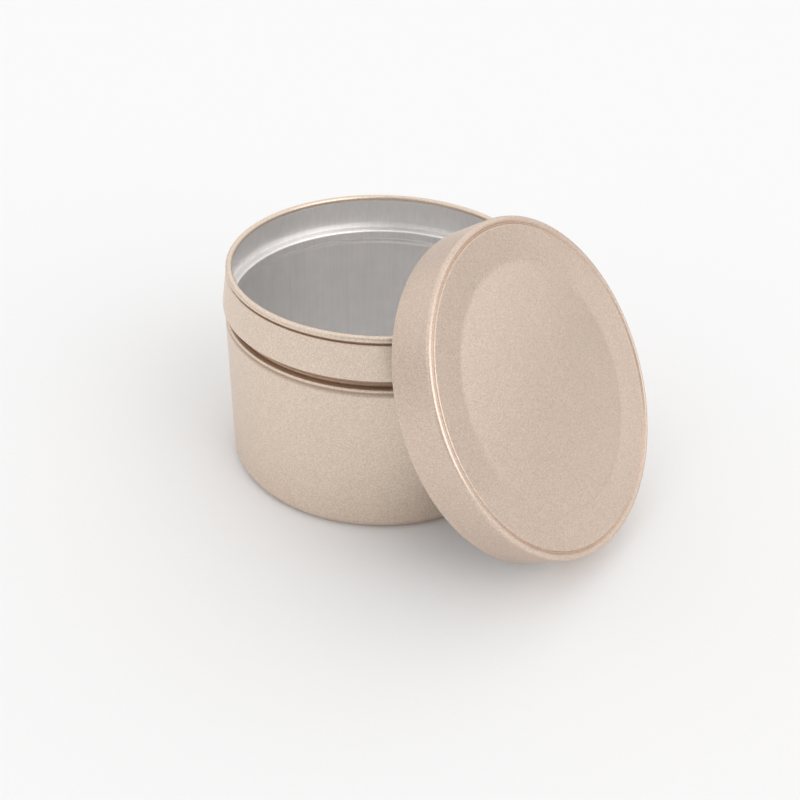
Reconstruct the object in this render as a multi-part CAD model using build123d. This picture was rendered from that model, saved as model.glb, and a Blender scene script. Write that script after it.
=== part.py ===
from build123d import *
import math
import os

# Candle tin: a seamless drawn tin and its slip lid, the lid taken off and leaning on the tin's rim.
# Units are mm. +Z is up, the origin is the middle of the tin's base, and the tin stands on Z = 0.
# Each piece is one sheet, so it is drawn as the line of its outer surface, in (radius, height),
# given the sheet's thickness on its inner side and turned about its own axis.

SHEET = 0.25                # thickness of the tinplate

# Tin
TIN_HEIGHT = 54.0           # base to top of the rim
BODY_RADIUS = 39.15         # outside of the straight wall
LEDGE_HEIGHT = 43.45        # lower edge of the neck band
LEDGE_RADIUS = 39.6         # the neck band's widest point, before its edge is rounded
GROOVE_RADIUS = 37.3        # bottom of the groove under the neck band
GROOVE_HEIGHT = 2.7         # ledge down to the shoulder
GROOVE_RISE = 0.3           # shoulder up to the inner end of the groove's floor
SHOULDER_RADIUS = 39.2      # rounded shoulder under the groove
NICK_RADIUS = 38.85         # fine line pressed in under the shoulder
NICK_DROP = 0.95            # shoulder to fine line, and fine line to the plain wall
NECK_RADIUS = 38.35         # top of the neck band, which tapers in from the ledge
NECK_DROP = 1.2             # middle of the roll down to the top of the neck band
RIM_RADIUS = 38.3           # outside of the rolled rim
RIM_FOOT = 0.45             # middle of the roll down to where the rim turns in
CURL_RADIUS = 0.8           # outside radius of the roll itself
CURL_TURN = 225             # degrees that the rim is rolled inwards
TUCK_RADIUS = 37.2          # bottom of the crease under the rolled rim
TUCK_DROP = 0.9             # middle of the roll down to that crease

# Outer radius of each bend in the tin's wall
BASE_BEND = 2.8
WALL_BEND = 0.5
NICK_BEND = 0.25
SHOULDER_BEND = 0.4
GROOVE_BEND = 0.5
LEDGE_BEND = 0.26
NECK_BEND = 0.3
TUCK_BEND = 0.2
RIM_BEND = 0.3

# Lid, open edge at height 0 and face up
LID_RADIUS = 40.0           # outside of the skirt
LID_DEPTH = 11.0            # open edge to top of the edge bead
BEAD_INNER = 38.85          # inner side of the edge bead
CREASE_RADIUS = 38.25       # crease at the foot of the bead
CREASE_DROP = 0.8           # depths are below the top of the bead
RING_RADIUS = 37.85         # outer edge of the sloping ring
RING_DROP = 0.3
PANEL_RADIUS = 29.2         # crowned inner panel
PANEL_DROP = 1.25           # edge of the panel
PANEL_EDGE = 2.0            # straight part of the panel next to its edge
PANEL_SLOPE = 4.0           # degrees that the panel rises at its edge

# Outer radius of each bend in the lid
SKIRT_BEND = 0.9            # between skirt and face
BEAD_BEND = 0.3
CREASE_BEND = 0.2
RING_BEND = 0.35
PANEL_BEND = 8.0

# Where the lid leans
LEAN = 56.5                 # degrees that the lid is tipped up from lying flat
LEAN_AZIMUTH = -34.9        # degrees from +X that its face looks towards
LEAN_AT = (31.3, -27.85)    # middle of its open edge, seen from above


def sheet_metal(outline, inner_side):
    """One piece of sheet turned about Z, with this outline as its outer surface."""
    section = make_face(offset(outline, SHEET, side=inner_side, closed=True).edges())
    return revolve(Plane.XZ * section, Axis.Z, 360)


def bent_line(corners):
    """A line through corners ((radius, height), bend), each corner rounded to its own bend."""
    points = [point for point, bend in corners]
    bends = [bend for point, bend in corners if bend]
    return FilletPolyline(*points, radius=bends)


def tin_wall():
    """Base, straight wall, fine line, shoulder, groove, ledge and neck band, up to the rolled rim."""
    shoulder = LEDGE_HEIGHT - GROOVE_HEIGHT
    rim_middle = TIN_HEIGHT - CURL_RADIUS
    corners = [
        ((0, 0), None),
        ((BODY_RADIUS, 0), BASE_BEND),
        ((BODY_RADIUS, shoulder - 2 * NICK_DROP), WALL_BEND),
        ((NICK_RADIUS, shoulder - NICK_DROP), NICK_BEND),
        ((SHOULDER_RADIUS, shoulder), SHOULDER_BEND),
        ((GROOVE_RADIUS, shoulder + GROOVE_RISE), GROOVE_BEND),
        ((GROOVE_RADIUS, LEDGE_HEIGHT), GROOVE_BEND),
        ((LEDGE_RADIUS, LEDGE_HEIGHT), LEDGE_BEND),
        ((NECK_RADIUS, rim_middle - NECK_DROP), NECK_BEND),
        ((TUCK_RADIUS, rim_middle - TUCK_DROP), TUCK_BEND),
        ((RIM_RADIUS, rim_middle - RIM_FOOT), RIM_BEND),
        ((RIM_RADIUS, rim_middle), None),
    ]
    return bent_line(corners)


def rolled_rim():
    """The rim rolled inwards, round its own ring."""
    middle = (RIM_RADIUS - CURL_RADIUS, TIN_HEIGHT - CURL_RADIUS)
    return CenterArc(middle, CURL_RADIUS, 0, CURL_TURN)


def make_tin():
    return sheet_metal(Wire([*tin_wall().edges(), *rolled_rim().edges()]), Side.RIGHT)


def panel_start():
    """Where the straight edge of the panel ends and its crown begins."""
    rise = PANEL_EDGE * math.tan(math.radians(PANEL_SLOPE))
    return (PANEL_RADIUS - PANEL_EDGE, LID_DEPTH - PANEL_DROP + rise)


def lid_edge():
    """Skirt, edge bead, crease and sloping ring, on to the edge of the inner panel."""
    corners = [
        ((LID_RADIUS, 0), None),
        ((LID_RADIUS, LID_DEPTH), SKIRT_BEND),
        ((BEAD_INNER, LID_DEPTH), BEAD_BEND),
        ((CREASE_RADIUS, LID_DEPTH - CREASE_DROP), CREASE_BEND),
        ((RING_RADIUS, LID_DEPTH - RING_DROP), RING_BEND),
        ((PANEL_RADIUS, LID_DEPTH - PANEL_DROP), PANEL_BEND),
        (panel_start(), None),
    ]
    return bent_line(corners)


def lid_panel():
    """The crowned panel, from its straight edge to level at its middle."""
    slope = math.radians(PANEL_SLOPE)
    radius = (PANEL_RADIUS - PANEL_EDGE) / math.sin(slope)
    return JernArc(panel_start(), (-math.cos(slope), math.sin(slope)), radius, PANEL_SLOPE)


def make_lid():
    """The lid lying face up, its open edge at height 0."""
    return sheet_metal(Wire([*lid_edge().edges(), *lid_panel().edges()]), Side.LEFT)


def lean_on_tin(lid):
    """Tip the lid so that its skirt stands on the ground and its inside rests over the tin's rim."""
    standing_height = LID_RADIUS * math.sin(math.radians(LEAN))
    place = Pos(*LEAN_AT, standing_height) * Rot(0, 0, LEAN_AZIMUTH) * Rot(0, LEAN, 0)
    return place * lid


os.makedirs("parts", exist_ok=True)
export_step(make_tin(), "parts/tin_body.step")
export_step(lean_on_tin(make_lid()), "parts/lid.step")
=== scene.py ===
import math

import bpy
from mathutils import Matrix, Quaternion, Vector


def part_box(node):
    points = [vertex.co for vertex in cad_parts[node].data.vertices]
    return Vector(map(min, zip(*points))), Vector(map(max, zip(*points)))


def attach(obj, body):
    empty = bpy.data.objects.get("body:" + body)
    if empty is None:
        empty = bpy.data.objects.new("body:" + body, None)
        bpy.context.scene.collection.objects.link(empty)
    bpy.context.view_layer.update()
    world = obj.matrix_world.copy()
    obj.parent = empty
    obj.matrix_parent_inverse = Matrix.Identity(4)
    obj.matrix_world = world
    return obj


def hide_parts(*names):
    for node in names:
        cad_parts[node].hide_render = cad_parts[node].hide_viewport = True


# A candle tin and its slip lid, both pressed from thin tinplate, on a plain white floor.
# Outlines are given in millimetres as (radius, height, bend): the outer surface of the sheet,
# from the middle of the piece out to its free edge, with each corner rounded to that bend.

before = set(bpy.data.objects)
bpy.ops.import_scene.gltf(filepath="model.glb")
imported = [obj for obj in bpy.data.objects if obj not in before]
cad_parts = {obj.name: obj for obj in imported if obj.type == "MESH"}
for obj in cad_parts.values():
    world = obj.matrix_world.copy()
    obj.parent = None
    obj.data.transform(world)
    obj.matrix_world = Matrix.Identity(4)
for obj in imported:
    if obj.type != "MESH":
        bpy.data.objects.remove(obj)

MM = 0.001
SHEET = 0.25                # thickness of the tinplate
ROUND = 288                 # facets round each piece
BEND_STEP = math.radians(7)  # largest turn between two points of a bend
SHADE_BEND = 1.0             # hollow bends tighter than this get painted shade in the coat

# Tin, standing on height 0
TIN_HEIGHT = 54.0
BODY_RADIUS = 39.15
LEDGE_HEIGHT = 43.45        # lower edge of the neck band
LEDGE_RADIUS = 39.6
GROOVE_RADIUS = 37.3        # groove under the neck band
GROOVE_HEIGHT = 2.7
GROOVE_RISE = 0.3
SHOULDER_RADIUS = 39.2
NICK_RADIUS = 38.85         # fine line under the shoulder
NICK_DROP = 0.95
NECK_RADIUS = 38.35         # top of the neck band
NECK_DROP = 1.2
RIM_RADIUS = 38.3
RIM_FOOT = 0.45
CURL_RADIUS = 0.8
CURL_TURN = math.radians(225)
TUCK_RADIUS = 37.2          # crease under the rolled rim
TUCK_DROP = 0.9

# Outer radius of each bend in the tin's wall
BASE_BEND = 2.8
WALL_BEND = 0.5
NICK_BEND = 0.25
SHOULDER_BEND = 0.4
GROOVE_BEND = 0.5
LEDGE_BEND = 0.26
NECK_BEND = 0.3
TUCK_BEND = 0.2
RIM_BEND = 0.3

# Lid, lying face down: depths are measured up from the top of its edge bead
LID_RADIUS = 40.0
LID_DEPTH = 11.0
BEAD_INNER = 38.85
CREASE_RADIUS = 38.25       # crease at the foot of the bead
CREASE_DROP = 0.8
RING_RADIUS = 37.85         # outer edge of the sloping ring
RING_DROP = 0.3
PANEL_RADIUS = 29.2
PANEL_DROP = 1.25
PANEL_EDGE = 2.0            # straight part of the panel next to its edge
PANEL_SLOPE = math.radians(4.0)
PANEL_STEP = math.radians(1.0)  # largest turn between two points of the crown

# Outer radius of each bend in the lid
SKIRT_BEND = 0.9
BEAD_BEND = 0.3
CREASE_BEND = 0.2
RING_BEND = 0.35
PANEL_BEND = 8.0

# Where the lid leans
LEAN = math.radians(56.5)   # tipped up from lying flat
LEAN_AZIMUTH = math.radians(-34.9)  # from +X, where its face looks
LEAN_AT = (31.3, -27.85)    # middle of its open edge, seen from above


# ---------------------------------------------------------------- outlines

def bend_points(before, corner, after, bend):
    """The rounded corner as [(point, direction, pooled)], from one straight to the next.

    Painted shade is 1 in a tight hollow bend, where the coat is darkened to paint in the crease's
    shade, and 0 elsewhere."""
    back = (before - corner).normalized()
    ahead = (after - corner).normalized()
    half = back.angle(ahead) / 2
    turn = math.pi - 2 * half
    inward = (back + ahead).normalized()
    middle = corner + inward * (bend / math.sin(half))
    steps = max(2, math.ceil(turn / BEND_STEP))
    side = 1 if back.x * ahead.y - back.y * ahead.x < 0 else -1
    # painted shade: tight hollow bends are marked so the coat is darkened there
    painted_shade = 1.0 if side < 0 and bend < SHADE_BEND else 0.0
    spoke = corner + back * (bend / math.tan(half)) - middle
    points = []
    for step in range(steps + 1):
        angle = side * turn * step / steps
        points.append((middle + turned(spoke, angle), turned(-back, angle), painted_shade))
    return points


def turned(vector, angle):
    """A flat vector turned anticlockwise."""
    c, s = math.cos(angle), math.sin(angle)
    return Vector((c * vector.x - s * vector.y, s * vector.x + c * vector.y))


def bent_line(corners):
    """A line through the corners, each rounded to its own bend, as [(point, direction, pooled)]."""
    spots = [Vector(corner[:2]) for corner in corners]
    line = [(spots[0], (spots[1] - spots[0]).normalized(), 0.0)]
    for before, corner, after, (_, _, bend) in zip(spots, spots[1:], spots[2:], corners[1:]):
        line += bend_points(before, corner, after, bend)
    line.append((spots[-1], (spots[-1] - spots[-2]).normalized(), 0.0))
    return line


def arc_line(start, way, radius, turn, largest_step):
    """An arc to the left, after its first point, as [(point, direction, pooled)]."""
    middle = start + Vector((-way.y, way.x)) * radius
    steps = math.ceil(turn / largest_step)
    line = []
    for step in range(1, steps + 1):
        angle = turn * step / steps
        line.append((middle + turned(start - middle, angle), turned(way, angle), 0.0))
    return line


def tin_line():
    """Base, wall, fine line, shoulder, groove, ledge, neck band and rolled rim."""
    shoulder = LEDGE_HEIGHT - GROOVE_HEIGHT
    rim_middle = TIN_HEIGHT - CURL_RADIUS
    wall = bent_line([
        (0, 0, 0),
        (BODY_RADIUS, 0, BASE_BEND),
        (BODY_RADIUS, shoulder - 2 * NICK_DROP, WALL_BEND),
        (NICK_RADIUS, shoulder - NICK_DROP, NICK_BEND),
        (SHOULDER_RADIUS, shoulder, SHOULDER_BEND),
        (GROOVE_RADIUS, shoulder + GROOVE_RISE, GROOVE_BEND),
        (GROOVE_RADIUS, LEDGE_HEIGHT, GROOVE_BEND),
        (LEDGE_RADIUS, LEDGE_HEIGHT, LEDGE_BEND),
        (NECK_RADIUS, rim_middle - NECK_DROP, NECK_BEND),
        (TUCK_RADIUS, rim_middle - TUCK_DROP, TUCK_BEND),
        (RIM_RADIUS, rim_middle - RIM_FOOT, RIM_BEND),
        (RIM_RADIUS, rim_middle, 0),
    ])
    return wall + arc_line(wall[-1][0], Vector((0, 1)), CURL_RADIUS, CURL_TURN, BEND_STEP)


def lid_line():
    """Crowned panel, sloping ring, crease, edge bead and skirt."""
    flat = PANEL_RADIUS - PANEL_EDGE
    rise = PANEL_EDGE * math.tan(PANEL_SLOPE)
    crown = flat / math.sin(PANEL_SLOPE)
    middle = Vector((0, PANEL_DROP - rise - crown * (1 - math.cos(PANEL_SLOPE))))
    level = Vector((1, 0))
    panel = [(middle, level, 0.0)] + arc_line(middle, level, crown, PANEL_SLOPE, PANEL_STEP)
    edge = bent_line([
        (flat, PANEL_DROP - rise, 0),
        (PANEL_RADIUS, PANEL_DROP, PANEL_BEND),
        (RING_RADIUS, RING_DROP, RING_BEND),
        (CREASE_RADIUS, CREASE_DROP, CREASE_BEND),
        (BEAD_INNER, 0, BEAD_BEND),
        (LID_RADIUS, 0, SKIRT_BEND),
        (LID_RADIUS, LID_DEPTH - SHEET / 2, 0),
    ])
    return panel + edge[1:]


# ---------------------------------------------------------------- pressed sheet

COAT, BARE = 0, 1           # material slots: the coated outside, and the bare inside
EDGE_STEPS = 6              # facets round the sheet's cut edge


def sheet_loop(line):
    """All round the sheet's section: outer surface, rounded free edge, inner surface.

    Each item is (point, outward normal, material of the stretch that follows, pooled)."""
    outer = [(point, Vector((way.y, -way.x)), painted_shade) for point, way, painted_shade in line]
    loop = [(point, normal, COAT, painted_shade) for point, normal, painted_shade in outer]
    end, normal, _ = outer[-1]
    way = line[-1][1]
    middle = end - normal * SHEET / 2
    for step in range(1, EDGE_STEPS):
        angle = math.pi * step / EDGE_STEPS
        out = normal * math.cos(angle) + way * math.sin(angle)
        loop.append((middle + out * SHEET / 2, out, BARE, 0.0))
    loop += [(point - normal * SHEET, -normal, BARE, 0.0) for point, normal, _ in reversed(outer)]
    return loop


def lathe(name, line, materials):
    """Turns a sheet's section round Z into one closed mesh with exact surface normals."""
    loop = sheet_loop(line)
    rings = loop[1:-1]
    spokes = [turned(Vector((1, 0)), 2 * math.pi * k / ROUND) for k in range(ROUND)]
    vertices, normals, shade_marks = [], [], []
    for point, normal, _, painted_shade in rings:
        vertices += [(*(spoke * point.x * MM), point.y * MM) for spoke in spokes]
        normals += [(*(spoke * normal.x), normal.y) for spoke in spokes]
        shade_marks += [painted_shade] * ROUND
    faces, paint = [], []
    for ring, (_, _, material, _) in enumerate(rings[:-1]):
        low, high = ring * ROUND, (ring + 1) * ROUND
        for k in range(ROUND):
            after = (k + 1) % ROUND
            faces.append((low + k, low + after, high + after, high + k))
        paint += [material] * ROUND
    for (point, normal, material, painted_shade), ring in ((loop[0], 0), (loop[-1], len(rings) - 1)):
        pole = len(vertices)
        vertices.append((0, 0, point.y * MM))
        normals.append((0, 0, normal.y))
        shade_marks.append(painted_shade)
        for k in range(ROUND):
            here, after = ring * ROUND + k, ring * ROUND + (k + 1) % ROUND
            faces.append((pole, after, here) if ring == 0 else (pole, here, after))
        paint += [material] * ROUND
    mesh = bpy.data.meshes.new(name)
    mesh.from_pydata(vertices, [], faces)
    mesh.polygons.foreach_set("material_index", paint)
    mesh.polygons.foreach_set("use_smooth", [True] * len(faces))
    for material in materials:
        mesh.materials.append(material)
    # marks the points of tight hollow bends, where the coat gets painted shade
    mesh.attributes.new("painted_shade", "FLOAT", "POINT").data.foreach_set("value", shade_marks)
    mesh.normals_split_custom_set_from_vertices(normals)
    piece = bpy.data.objects.new(name, mesh)
    bpy.context.scene.collection.objects.link(piece)
    return piece


# ---------------------------------------------------------------- materials

class Nodes:
    """Short ways to add and join the nodes of one material or world."""

    def __init__(self, owner):
        """The owner is the name of a new material, or a world."""
        if isinstance(owner, str):
            owner = self.material = bpy.data.materials.new(owner)
            owner.use_nodes = True
            self.shader = owner.node_tree.nodes["Principled BSDF"]
        self.tree = owner.node_tree

    def add(self, kind, inputs=(), **settings):
        """A new node, each of its inputs given as a value or as a socket to link."""
        node = self.tree.nodes.new(kind)
        for key, value in settings.items():
            setattr(node, key, value)
        for key, value in dict(inputs).items():
            if isinstance(value, bpy.types.NodeSocket):
                self.tree.links.new(value, node.inputs[key])
            else:
                node.inputs[key].default_value = value
        return node

    def place(self):
        """Position on the piece, in metres."""
        return self.add("ShaderNodeTexCoord").outputs["Object"]

    def noise(self, place, scale, detail=2.0, roughness=0.5):
        values = {"Vector": place, "Scale": scale, "Detail": detail, "Roughness": roughness}
        return self.add("ShaderNodeTexNoise", values).outputs["Fac"]

    def span(self, value, low, high, source=(0.0, 1.0)):
        """A value between the two source values, mapped to between low and high."""
        values = {0: value, 1: source[0], 2: source[1], 3: low, 4: high}
        return self.add("ShaderNodeMapRange", values).outputs[0]

    def soft_span(self, value, low, high, source):
        """The same, easing in and out."""
        values = {0: value, 1: source[0], 2: source[1], 3: low, 4: high}
        return self.add("ShaderNodeMapRange", values, interpolation_type="SMOOTHSTEP").outputs[0]

    def mixed(self, amount, first, second):
        """From the first colour at 0 to the second at 1."""
        values = {0: amount, 6: first, 7: second}
        return self.add("ShaderNodeMix", values, data_type="RGBA").outputs[2]

    def maths(self, operation, a, b):
        return self.add("ShaderNodeMath", {0: a, 1: b}, operation=operation).outputs[0]

    def shade(self, colour, value):
        """A colour made lighter or darker by a value about 1."""
        values = {0: colour, "Scale": value}
        return self.add("ShaderNodeVectorMath", values, operation="SCALE").outputs[0]

    def toward(self, way, middle):
        """How nearly a direction is the middle one: 1 where they are the same."""
        values = {0: way, 1: middle}
        return self.add("ShaderNodeVectorMath", values, operation="DOT_PRODUCT").outputs["Value"]

    def bump(self, height, strength, distance):
        values = {"Height": height, "Strength": strength, "Distance": distance}
        return self.add("ShaderNodeBump", values).outputs["Normal"]

    def finish(self, **inputs):
        """Sets or links the shader's own inputs, and gives the material."""
        for key, value in inputs.items():
            socket = self.shader.inputs[key.replace("_", " ")]
            if isinstance(value, bpy.types.NodeSocket):
                self.tree.links.new(value, socket)
            else:
                socket.default_value = value
        return self.material


# Colours of the coat and the bare metal, with the share of each tint left in its tight hollow bends as
# painted shade
TIN_TINT = (0.745, 0.627, 0.525, 1)
# painted shade: the tin coat keeps this share of its tint in tight hollow bends
TIN_CREASE_SHADE = (0.62, 0.53, 0.47, 1)
# painted shade: the lid's coat is a shade darker than the tin's to stand for the dimmer light on the
# lid; both are the same lacquer
LID_SHADED_TINT = (0.69, 0.563, 0.47, 1)
# painted shade: a faint darkening of the lid coat in its tight hollow bends
LID_CREASE_SHADE = (0.95, 0.9, 0.87, 1)
WARMER = (1.0, 0.985, 0.975, 1)  # share left where the coat lies a little thicker
TINPLATE = (0.92, 0.905, 0.895)

# How fine each texture is, as the scale of its pattern
GRAIN = 4400                # grain of the coat
FLAKES = 3900               # metal flakes in the coat
CLOUDS = 60                 # slow unevenness of the coat
DRAWN_LINES = 1800          # lines that drawing leaves in the bare metal
DRAWN_OUT = (1, 1, 0.02)    # stretches those lines upright
CRYSTALS = 220              # mottle of the tin crystals
TOOTH = 900                 # faint tooth of the floor

# How much each texture darkens and lightens its colour
GRAIN_SHADES = (0.72, 1.28)
FLAKE_SHADES = (0.9, 1.1)
CLOUD_SHADES = (0.975, 1.025)
LINE_SHADES = (0.93, 1.07)
CRYSTAL_SHADES = (0.94, 1.06)
TOOTH_SHADES = (0.99, 1.01)

# How deep each texture looks, in metres before its strength, from 0 to 1, is taken
GRAIN_DEPTH, GRAIN_STRENGTH = 0.00004, 0.3
LINE_DEPTH, LINE_STRENGTH = 0.00003, 0.15
TOOTH_DEPTH, TOOTH_STRENGTH = 0.00005, 0.05

COAT_METAL = 0.9            # share of the coat's look that is metal
COAT_ROUGHNESS = (0.32, 0.44)
TINPLATE_ROUGHNESS = (0.42, 0.54)
FLOOR_ROUGHNESS = 0.7


def share_of(tint, share):
    """A tint with each of its parts cut to a share."""
    return tuple(part * amount for part, amount in zip(tint, share))


def champagne_coat(name, tint, crease_shade):
    """Satin metallic lacquer with a fine grain and flakes, a little uneven, and with painted shade in
    its tight hollow bends.
    """
    n = Nodes(name)
    place = n.place()
    grain = n.noise(place, GRAIN, 1.0)
    flakes = n.add("ShaderNodeTexVoronoi", {"Vector": place, "Scale": FLAKES}).outputs["Color"]
    flake = n.add("ShaderNodeSeparateColor", {"Color": flakes}).outputs[0]
    cloud = n.noise(place, CLOUDS, 3.0)
    light = n.maths("MULTIPLY", n.span(grain, *GRAIN_SHADES), n.span(flake, *FLAKE_SHADES))
    light = n.maths("MULTIPLY", light, n.span(cloud, *CLOUD_SHADES))
    warm = n.mixed(n.span(cloud, 0.2, 0.8), tint, share_of(tint, WARMER))
    # painted shade: the tint is darkened where the mesh marks a tight hollow bend
    painted_shade = n.add("ShaderNodeAttribute", attribute_name="painted_shade").outputs["Fac"]
    colour = n.mixed(painted_shade, warm, share_of(tint, crease_shade))
    return n.finish(
        Base_Color=n.shade(colour, light),
        Metallic=COAT_METAL,
        Roughness=n.span(n.maths("ADD", flake, cloud), *COAT_ROUGHNESS, (0.0, 2.0)),
        Normal=n.bump(grain, GRAIN_STRENGTH, GRAIN_DEPTH),
    )


def bare_tinplate():
    """Bright tinplate with fine upright lines from drawing and a soft mottle of tin crystals."""
    n = Nodes("bare tinplate")
    place = n.place()
    upright = n.add("ShaderNodeMapping", {"Vector": place, "Scale": DRAWN_OUT}).outputs[0]
    lines = n.noise(upright, DRAWN_LINES, 2.0)
    mottle = n.noise(place, CRYSTALS, 4.0, 0.6)
    light = n.maths("MULTIPLY", n.span(lines, *LINE_SHADES), n.span(mottle, *CRYSTAL_SHADES))
    return n.finish(
        Base_Color=n.shade(TINPLATE, light),
        Metallic=1.0,
        Roughness=n.span(mottle, *TINPLATE_ROUGHNESS),
        Normal=n.bump(lines, LINE_STRENGTH, LINE_DEPTH),
    )


# ---------------------------------------------------------------- the object

def make_tin(materials):
    """The tin, standing on the floor."""
    tin = lathe("tin_pressing", tin_line(), materials)
    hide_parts("tin_body")
    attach(tin, "tin")


def make_lid(materials):
    """The lid, turned from face down to where it leans over the rim with its skirt on the floor."""
    lid = lathe("lid_pressing", lid_line(), materials)
    turn = Matrix.Rotation(LEAN_AZIMUTH, 4, "Z") @ Matrix.Rotation(LEAN + math.pi, 4, "Y")
    open_edge = Vector((*LEAN_AT, LID_RADIUS * math.sin(LEAN)))
    face = open_edge - turn.to_3x3() @ Vector((0, 0, LID_DEPTH))
    lid.data.transform(Matrix.Translation(face * MM) @ turn)
    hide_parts("lid")
    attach(lid, "slip_lid")


# ---------------------------------------------------------------- stage, light and camera

FLOOR_HALF = 3.0            # metres from its middle to each side
FLOOR_TINT = (0.84, 0.84, 0.845)

# Light of the room. Directions are about one long, and a spread is how near to the direction,
# as a cosine, its effect begins and is full.
OVERHEAD_LIGHT = 1.08
HORIZON_LIGHT = 0.4
HORIZON_TO_OVERHEAD = (0.02, 0.28)  # heights, on a sky one high, between which one turns to the other
FRONT_LIGHT = 0.4           # share of the light left in front
FRONT = (-0.1, -0.82, 0.56)
FRONT_SPREAD = (0.84, 0.98)
KEY_LIGHT = 1.4             # added by a soft window to the right of the dim front
KEY = (0.58, -0.58, 0.57)
KEY_SPREAD = (0.84, 0.97)
ROOM_TINT = (1.0, 0.995, 0.99, 1)


def make_floor():
    """A wide plain floor at the tin's base."""
    n = Nodes("white floor")
    place = n.place()
    tooth = n.noise(place, TOOTH, 2.0)
    n.finish(
        Base_Color=n.shade(FLOOR_TINT, n.span(tooth, *TOOTH_SHADES)),
        Roughness=FLOOR_ROUGHNESS,
        Normal=n.bump(tooth, TOOTH_STRENGTH, TOOTH_DEPTH),
    )
    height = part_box("tin_body")[0][2]
    sides = ((-1, -1), (1, -1), (1, 1), (-1, 1))
    corners = [(x * FLOOR_HALF, y * FLOOR_HALF, height) for x, y in sides]
    mesh = bpy.data.meshes.new("floor")
    mesh.from_pydata(corners, [], [(0, 1, 2, 3)])
    mesh.materials.append(n.material)
    floor = bpy.data.objects.new("floor", mesh)
    bpy.context.scene.collection.objects.link(floor)


def make_room():
    """A white room: bright overhead, dim at the horizon and behind the camera, with one window."""
    world = bpy.data.worlds.new("white room")
    bpy.context.scene.world = world
    world.use_nodes = True
    n = Nodes(world)
    way = n.add("ShaderNodeTexCoord").outputs["Generated"]
    height = n.add("ShaderNodeSeparateXYZ", {0: way}).outputs["Z"]
    sky = n.soft_span(height, HORIZON_LIGHT, OVERHEAD_LIGHT, HORIZON_TO_OVERHEAD)
    front = n.soft_span(n.toward(way, FRONT), 1.0, FRONT_LIGHT, FRONT_SPREAD)
    key = n.soft_span(n.toward(way, KEY), 0.0, KEY_LIGHT, KEY_SPREAD)
    light = n.maths("ADD", n.maths("MULTIPLY", sky, front), key)
    back = world.node_tree.nodes["Background"]
    back.inputs["Color"].default_value = ROOM_TINT
    world.node_tree.links.new(light, back.inputs["Strength"])


CAMERA_BACK = 0.2412        # metres in front of the tin's axis
CAMERA_HEIGHT = 0.1769      # metres above the floor
CAMERA_YAW = math.radians(1.24)
CAMERA_PITCH = math.radians(34.39)
CAMERA_ROLL = math.radians(1.61)
CAMERA_LENS = 49.2


def make_camera():
    """Looks down on the tin from close in front."""
    data = bpy.data.cameras.new("camera")
    data.lens = CAMERA_LENS
    camera = bpy.data.objects.new("camera", data)
    camera.location = (0, -CAMERA_BACK, CAMERA_HEIGHT)
    level = math.cos(CAMERA_PITCH)
    look = Vector((math.sin(CAMERA_YAW) * level, math.cos(CAMERA_YAW) * level, -math.sin(CAMERA_PITCH)))
    camera.rotation_mode = "QUATERNION"
    camera.rotation_quaternion = look.to_track_quat("-Z", "Y") @ Quaternion((0, 0, 1), CAMERA_ROLL)
    bpy.context.scene.collection.objects.link(camera)
    bpy.context.scene.camera = camera


def main():
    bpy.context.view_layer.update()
    bare = bare_tinplate()
    make_tin([champagne_coat("tin coat", TIN_TINT, TIN_CREASE_SHADE), bare])
    make_lid([champagne_coat("lid coat", LID_SHADED_TINT, LID_CREASE_SHADE), bare])
    make_floor()
    make_room()
    make_camera()
    bpy.context.scene.view_settings.view_transform = "Standard"


main()
